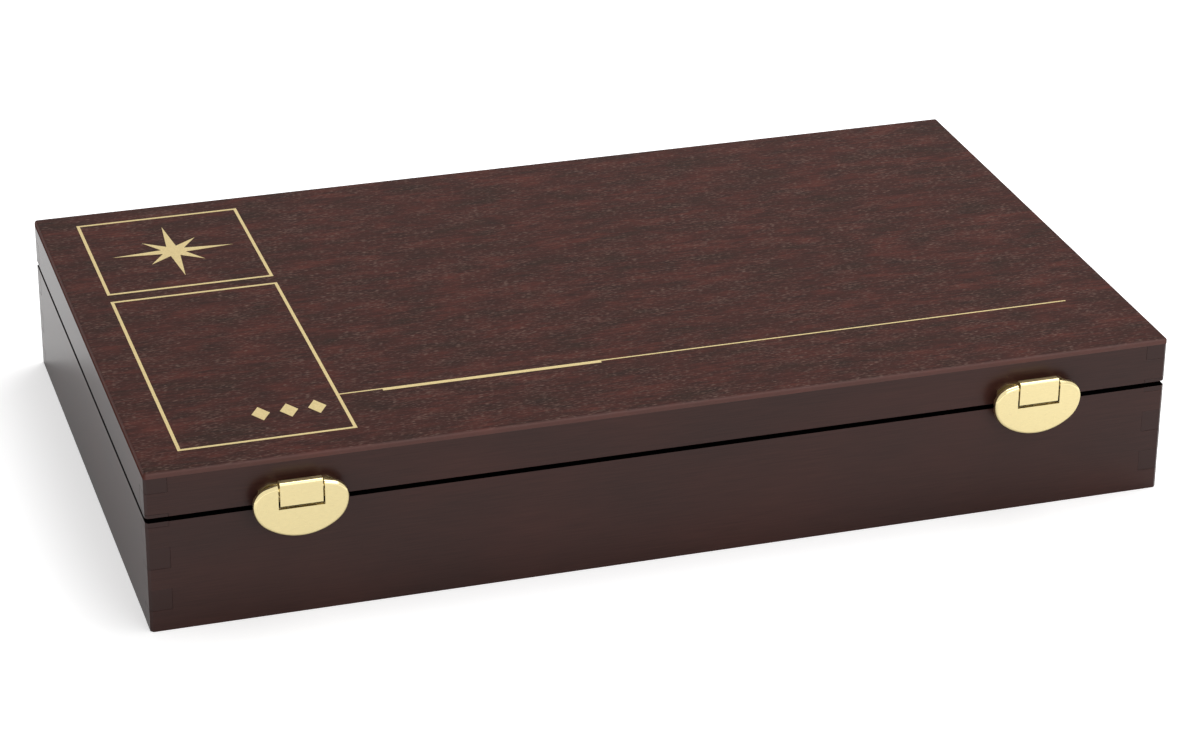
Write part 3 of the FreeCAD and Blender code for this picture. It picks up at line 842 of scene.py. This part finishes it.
def slot_chain(shape, vert, x, radius, level, y):
    """Carry the section's last vertex into a slot, round its bottom and up again."""
    vert = step_to(shape, vert, (x - radius, y, level))
    depth_centre = level - slot_sink + radius
    vert = step_to(shape, vert, (x - radius, y, depth_centre))
    vert = walk_arc(shape, vert, (x, y, depth_centre), -math.pi, slot_steps)
    return step_to(shape, vert, (x + radius, y, level))


def build_tray(name):
    low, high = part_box(name)
    front_sticks = loose_boxes(f"{name}_front_sticks")
    radius = (front_sticks[0][1].x - front_sticks[0][0].x) / 2 + slot_clearance
    level = front_sticks[0][0].z + slot_sink
    bed_inner = -front_sticks[0][1].y - end_clearance
    bed_outer = -front_sticks[0][0].y + end_clearance
    bed_left = front_sticks[0][0].x - slot_clearance
    bed_right = front_sticks[-1][1].x + slot_clearance
    bed_foot = low.z + bed_lift
    shape = bmesh.new()
    for hand in (1, -1):
        near, far = sorted((hand * bed_inner, hand * bed_outer))
        bed = bmesh.new()
        first = bed.verts.new((bed_left, near, bed_foot))
        vert = first
        for stick_low, stick_high in front_sticks:
            x = (stick_low.x + stick_high.x) / 2
            vert = slot_chain(bed, vert, x, radius, level, near)
        vert = step_to(bed, vert, (bed_right, near, bed_foot))
        bed.edges.new((vert, first))
        section = bmesh.ops.contextual_create(bed, geom=bed.edges)["faces"]
        ends = bmesh.ops.extrude_face_region(bed, geom=section)["geom"]
        bmesh.ops.translate(bed, verts=verts_of(ends), vec=(0, far - near, 0))
        bmesh.ops.recalc_face_normals(bed, faces=bed.faces)
        append(shape, bed)
    under = bed_inner + trough_lap
    add_block(shape, (bed_left, -under, low.z), (bed_right, under, low.z + trough_floor))
    rim = bmesh.new()
    outline = rectangle(low.x, high.x, low.y, high.y)
    face = rim.faces.new([rim.verts.new((x, y, low.z)) for x, y in outline])
    face.normal_update()
    bmesh.ops.inset_region(rim, faces=[face], thickness=rim_easing, use_boundary=True)
    for vert in face.verts:
        vert.co.x = math.copysign(bed_right, vert.co.x)
        vert.co.y = math.copysign(bed_outer, vert.co.y)
    rim.faces.remove(face)
    raised = bmesh.ops.extrude_face_region(rim, geom=list(rim.faces))["geom"]
    bmesh.ops.translate(rim, verts=verts_of(raised), vec=(0, 0, high.z - low.z))
    bmesh.ops.recalc_face_normals(rim, faces=rim.faces)
    rounded_from = low.z + 1.0 * mm
    ease_edges(rim, rim_easing, 3,
               only=lambda edge: min(vert.co.z for vert in edge.verts) > rounded_from)
    append(shape, rim)
    print(name, "slots", 2 * len(front_sticks), "radius", round(radius / mm, 2))
    return make_piece(name + "_flocked", shape, [flock], "box", [name])


for name in ("lower_tray", "upper_tray"):
    build_tray(name)

# %% [markdown]
# ## Pastel sticks
# There are ninety-six round sticks, each a soft colour rod with a paper sleeve that leaves both
# ends bare. One stick is a turned profile of a few dozen faces. Its copies carry their colour in a
# point attribute, which both the pastel's and the paper's material read, so that a row of sticks
# stays one light piece.

# %% Stick finish
sleeve_start = 9.0 * mm
sleeve_end = 52.0 * mm
sleeve_sheet = 0.12 * mm
stick_easing = 0.7 * mm
stick_steps = 16
stick_roll = 2.4
paper_white = (0.86, 0.84, 0.79)
row_colours = {
    "upper_tray_front_sticks": [
        (0.93, 0.86, 0.55), (0.95, 0.70, 0.08), (0.90, 0.32, 0.03), (0.72, 0.05, 0.03),
        (0.55, 0.02, 0.08)],
    "upper_tray_rear_sticks": [
        (0.90, 0.50, 0.52), (0.70, 0.10, 0.28), (0.32, 0.05, 0.35), (0.10, 0.06, 0.42),
        (0.35, 0.38, 0.75)],
    "lower_tray_front_sticks": [
        (0.03, 0.08, 0.45), (0.04, 0.28, 0.66), (0.05, 0.48, 0.52), (0.03, 0.32, 0.18),
        (0.40, 0.58, 0.08)],
    "lower_tray_rear_sticks": [
        (0.62, 0.52, 0.22), (0.45, 0.20, 0.06), (0.16, 0.06, 0.035), (0.08, 0.08, 0.085),
        (0.80, 0.80, 0.78)],
}


def stick_material(name, pigment, roughness, grain, depth):
    material, tree, shader = new_material(name)
    colour = add_node(tree, "Attribute", attribute_name="stick_colour").outputs["Color"]
    specks = grain_pattern(tree, grain, 3.0, 0.6)
    shade = ramp(tree, specks, [(0.3, (0.82, 0.82, 0.82)), (0.7, (1.0, 1.0, 1.0))])
    base = mix_colours(tree, pigment, paper_white, colour)
    drive(tree, mix_colours(tree, 1.0, base, shade, "MULTIPLY"), shader, "Base Color")
    shader.inputs["Roughness"].default_value = roughness
    bump(tree, shader, specks, depth, 0.5)
    return material


pastel = stick_material("pastel", 1.0, 0.62, 0.8 * mm, 0.05 * mm)
paper = stick_material("paper_sleeve", 0.72, 0.55, 0.3 * mm, 0.01 * mm)

# %% Sticks
def turn_stick(length, radius):
    """One stick along +y from its end at the origin, with the sleeve's faces as material 1."""
    bare = radius - sleeve_sheet
    profile = [(0, 0), (bare - stick_easing, 0), (bare, stick_easing), (bare, sleeve_start),
               (radius, sleeve_start), (radius, sleeve_end), (bare, sleeve_end),
               (bare, length - stick_easing), (bare - stick_easing, length), (0, length)]
    shape = turn_profile([(x, y, 0) for x, y in profile], (0, 1, 0), stick_steps)
    slack = 0.001 * mm
    for face in shape.faces:
        level = face.calc_center_median().y
        face.material_index = int(sleeve_start - slack <= level <= sleeve_end + slack)
    return finish_mesh("stick", shape)


def blend_colour(colours, share):
    """A colour part of the way along a row of colours."""
    place = share * (len(colours) - 1)
    start = min(int(place), len(colours) - 2)
    return tuple(Vector(colours[start]).lerp(Vector(colours[start + 1]), place - start))


def build_row(node, colours):
    boxes = loose_boxes(node)
    low, high = boxes[0]
    mesh = turn_stick(high.y - low.y, (high.z - low.z) / 2)
    shape = bmesh.new()
    shape.verts.layers.float_color.new("stick_colour")
    for number, (low, high) in enumerate(boxes):
        place = Vector(((low.x + high.x) / 2, low.y, (low.z + high.z) / 2))
        roll = Matrix.Rotation(stick_roll * number, 4, "Y")
        known = len(shape.verts)
        shape.from_mesh(mesh)
        tint = shape.verts.layers.float_color["stick_colour"]
        shape.verts.ensure_lookup_table()
        stick = shape.verts[known:]
        bmesh.ops.transform(shape, matrix=Matrix.Translation(place) @ roll, verts=stick)
        colour = blend_colour(colours, number / (len(boxes) - 1))
        for vert in stick:
            vert[tint] = (*colour, 1.0)
    bpy.data.meshes.remove(mesh)
    print(node, len(boxes), "sticks")
    return make_piece(node + "_sleeved", shape, [pastel, paper], "box", [node])


for node, colours in row_colours.items():
    build_row(node, colours)

# %% [markdown]
# ## Lift ribbons
# A satin ribbon runs under each end of the upper tray, up its end, over the rim and into the
# trough, so that the tray can be lifted. It is one flat strip: an edge across the ribbon, carried
# along its path with straight extrusions and quarter spins, and then given its thickness.

# %% Ribbons
ribbon_red = (0.230, 0.012, 0.018)
ribbon_bright = (0.420, 0.030, 0.036)
ribbon_sheet = 0.36 * mm
ribbon_turn = 0.9 * mm
ribbon_film = 0.02 * mm
selvage = 0.1 * mm
tray_rim = 4.75 * mm
rim_gap = 0.25 * mm


def ribbon_finish():
    material, tree, shader = new_material("satin_ribbon")
    weave = add_node(tree, "TexWave", {"Vector": place_pattern(tree, (1, 1, 1)), "Scale": 900.0,
                                       "Distortion": 0.6}, bands_direction="Y").outputs["Fac"]
    tone = ramp(tree, weave, [(0.2, ribbon_red), (0.8, ribbon_bright)])
    drive(tree, tone, shader, "Base Color")
    shader.inputs["Roughness"].default_value = 0.38
    shader.inputs["Sheen Weight"].default_value = 0.3
    bump(tree, shader, weave, 0.03 * mm, 0.4)
    return material


ribbon_satin = ribbon_finish()


def carry_edge(shape, edge, move):
    """Extrude the ribbon's end edge straight on."""
    parts = bmesh.ops.extrude_edge_only(shape, edges=[edge])["geom"]
    verts = verts_of(parts)
    bmesh.ops.translate(shape, verts=verts, vec=move)
    return next(part for part in parts if isinstance(part, bmesh.types.BMEdge)
                and all(vert in verts for vert in part.verts))


def turn_edge(shape, edge, centre, angle):
    """Carry the ribbon's end edge round a fold."""
    result = bmesh.ops.spin(shape, geom=[edge, *edge.verts], cent=centre, axis=(0, 1, 0),
                            angle=angle, steps=5, use_duplicate=False)["geom_last"]
    return next(part for part in result if isinstance(part, bmesh.types.BMEdge))


def build_ribbon(side, hand):
    node = f"{side}_lift_ribbon"
    low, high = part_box(node)
    tray_low, tray_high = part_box("upper_tray")
    half = (high.y - low.y) / 2 - selvage
    sheet = ribbon_sheet / 2 + ribbon_film
    outer = hand * (max(abs(low.x), abs(high.x)) - sheet)
    tail = hand * min(abs(low.x), abs(high.x))
    inner = hand * (tray_high.x - tray_rim - rim_gap)
    foot = low.z + sheet + ribbon_film
    crest = high.z - sheet
    step = ribbon_turn
    shape = bmesh.new()
    edge = shape.edges.new([shape.verts.new((tail, y, foot)) for y in (-half, half)])
    quarter = -hand * math.pi / 2
    edge = carry_edge(shape, edge, (outer - tail - hand * step, 0, 0))
    edge = turn_edge(shape, edge, (outer - hand * step, 0, foot + step), quarter)
    edge = carry_edge(shape, edge, (0, 0, crest - foot - 2 * step))
    edge = turn_edge(shape, edge, (outer - hand * step, 0, crest - step), quarter)
    edge = carry_edge(shape, edge, (inner - outer + 2 * hand * step, 0, 0))
    edge = turn_edge(shape, edge, (inner + hand * step, 0, crest - step), quarter)
    floor = tray_low.z + trough_floor + sheet
    edge = carry_edge(shape, edge, (0, 0, floor - crest + 2 * step))
    edge = turn_edge(shape, edge, (inner - hand * step, 0, floor + step), -quarter)
    carry_edge(shape, edge, (tail - inner + hand * step, 0, 0))
    bmesh.ops.recalc_face_normals(shape, faces=shape.faces)
    length = sum(face.calc_area() for face in shape.faces) / (2 * half)
    bmesh.ops.solidify(shape, geom=shape.faces, thickness=ribbon_sheet)
    ribbon = make_piece(f"{side}_ribbon", shape, [ribbon_satin], "box", [node])
    print(node, round(2 * half / mm, 1), "by", round(length / mm, 1), "mm")


for side, hand in (("left", -1), ("right", 1)):
    build_ribbon(side, hand)

# %% [markdown]
# ## Lid pad
# A thin foam pad covered in black napped cloth keeps the upper sticks in their slots. It is a
# block whose lower edges are drawn in by the cloth and whose face is slightly crowned and quilted
# along two seams. The face is a fine grid that is moved in code, and a subdivision smooths it.

# %% Pad
pad_cell = 4.0 * mm
pad_crown = 0.55 * mm
pad_clearance = 0.2 * mm
seam_sink = 0.9 * mm
seam_width = 2.6 * mm
pull_width = 1.6 * mm
pull_height = 2.2 * mm
ruffle_height = 0.12 * mm
ruffle_scale = 60
draw_in = 0.7 * mm
draw_wave = 0.25 * mm
border = 0.5 * mm


def lining_finish():
    material, tree, shader = new_material("napped_lining")
    nap = grain_pattern(tree, 0.28 * mm, 2.0, 0.6)
    tone = ramp(tree, nap, [(0.3, (0.010, 0.010, 0.011)), (0.7, (0.026, 0.025, 0.027))])
    drive(tree, tone, shader, "Base Color")
    shader.inputs["Roughness"].default_value = 0.9
    shader.inputs["Specular IOR Level"].default_value = 0.2
    shader.inputs["Sheen Weight"].default_value = 0.15
    bump(tree, shader, nap, 0.08 * mm, 0.6)
    return material


def build_pad():
    low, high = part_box("lid_pad")
    shape = bmesh.new()
    columns = round((high.x - low.x) / pad_cell)
    rows = round((high.y - low.y) / pad_cell)
    size = Matrix.Diagonal(((high.x - low.x) / 2, (high.y - low.y) / 2, 1, 1))
    place = Matrix.Translation((0, 0, high.z)) @ size
    bmesh.ops.create_grid(shape, x_segments=columns, y_segments=rows, size=1.0, matrix=place)
    skirt = bmesh.ops.extrude_face_region(shape, geom=list(shape.faces))["geom"]
    flat_depth = high.z - low.z - pad_crown - pad_clearance
    for vert in verts_of(skirt):
        x, y = vert.co.x / high.x, vert.co.y / high.y
        side_gap = high.x - abs(vert.co.x)
        end_gap = high.y - abs(vert.co.y)
        pull = math.exp(-min(side_gap, end_gap) / pull_width)
        crown = pad_crown * (1 - x**4) * (1 - y**4)
        ruffle = ruffle_height * noise.noise(vert.co * ruffle_scale) * (1 - pull)
        seam = abs(abs(vert.co.x) - high.x / 3)
        sink = seam_sink * math.exp(-(seam / seam_width) ** 2) * (1 - pull)
        draw = draw_in + draw_wave * math.sin(vert.co.x * 95) * math.sin(vert.co.y * 110)
        vert.co.z -= flat_depth + crown - sink - pull_height * pull + ruffle
        if side_gap < border:
            vert.co.x -= math.copysign(draw, vert.co.x)
        if end_gap < border:
            vert.co.y -= math.copysign(draw, vert.co.y)
    bmesh.ops.recalc_face_normals(shape, faces=shape.faces)
    pad = make_piece("quilted_pad", shape, [lining_finish()], "lid", ["lid_pad"])
    smooth = pad.modifiers.new("smooth", "SUBSURF")
    smooth.levels = smooth.render_levels = 1
    print("pad", columns, "by", rows, "cells")


build_pad()

# %% [markdown]
# ## Floor, backdrop and light
# The case stands on a white sweep in even studio light. The floor is a plain white surface that
# keeps the soft shadow. For rays from the camera, and for mirrored ones, part of its white is its
# own, so that it reads as white without more light on the case. Close to the case this share is
# small for mirrored rays, so the polished side walls show the shaded floor at their feet. A lamp
# above the right rear gives the shadows, one in front fills them, and a small one at the right
# front draws the lines of light on the rounded edges.

# %% Floor and light
floor_reach = 6.0
near_camera_glow = 0.48
near_mirror_glow = 0.03
far_glow = 0.80
near_reach = 0.12
far_reach = 0.70
studio_light = 0.38


def floor_finish():
    material, tree, shader = new_material("white_sweep")
    tree.nodes.remove(shader)
    output = tree.nodes["Material Output"]
    rays = add_node(tree, "LightPath").outputs
    seen = seen_directly(tree, rays)
    paper = add_node(tree, "BsdfDiffuse", {"Color": (0.95, 0.95, 0.95, 1)}).outputs[0]
    spot = add_node(tree, "TexCoord").outputs["Object"]
    away = add_node(tree, "VectorMath", {0: spot}, operation="LENGTH").outputs["Value"]
    near = stretch(tree, rays["Is Camera Ray"], 0, 1, near_mirror_glow, near_camera_glow)
    own = stretch(tree, away, near_reach, far_reach, near, far_glow)
    glow = add_node(tree, "Emission", {"Color": (1, 1, 1, 1), "Strength": own}).outputs[0]
    both = add_node(tree, "AddShader", {0: paper, 1: glow}).outputs[0]
    mixed = add_node(tree, "MixShader", {0: seen, 1: paper, 2: both}).outputs[0]
    tree.links.new(mixed, output.inputs["Surface"])
    return material


def build_floor():
    shape = bmesh.new()
    bmesh.ops.create_grid(shape, x_segments=2, y_segments=2, size=floor_reach)
    mesh = finish_mesh("floor", shape)
    mesh.materials.append(floor_finish())
    floor = bpy.data.objects.new("floor", mesh)
    bpy.context.collection.objects.link(floor)


def build_world():
    world = bpy.data.worlds.new("studio")
    world.use_nodes = True
    bpy.context.scene.world = world
    tree = world.node_tree
    sky = tree.nodes["Background"]
    seen = seen_directly(tree, add_node(tree, "LightPath").outputs)
    sky.inputs["Color"].default_value = (1.0, 1.0, 1.0, 1.0)
    tree.links.new(stretch(tree, seen, 0, 1, studio_light, 1.0), sky.inputs["Strength"])


def build_lamp(name, place, size, power):
    """A rectangular lamp that is aimed at the middle of the case's foot."""
    light = bpy.data.lights.new(name, "AREA")
    light.shape = "RECTANGLE"
    light.size, light.size_y = size
    light.energy = power
    lamp = bpy.data.objects.new(name, light)
    lamp.location = place
    lamp.rotation_euler = (-lamp.location).to_track_quat("-Z", "Y").to_euler()
    bpy.context.collection.objects.link(lamp)


build_floor()
build_world()
build_lamp("top_softbox", (0.38, 0.27, 1.10), (0.9, 0.9), 8.8)
build_lamp("front_softbox", (0.5, -1.5, 0.9), (1.0, 0.8), 5.2)
build_lamp("edge_softbox", (0.62, -0.55, 0.90), (0.4, 0.4), 1.3)
print("floor, world and 3 lamps")
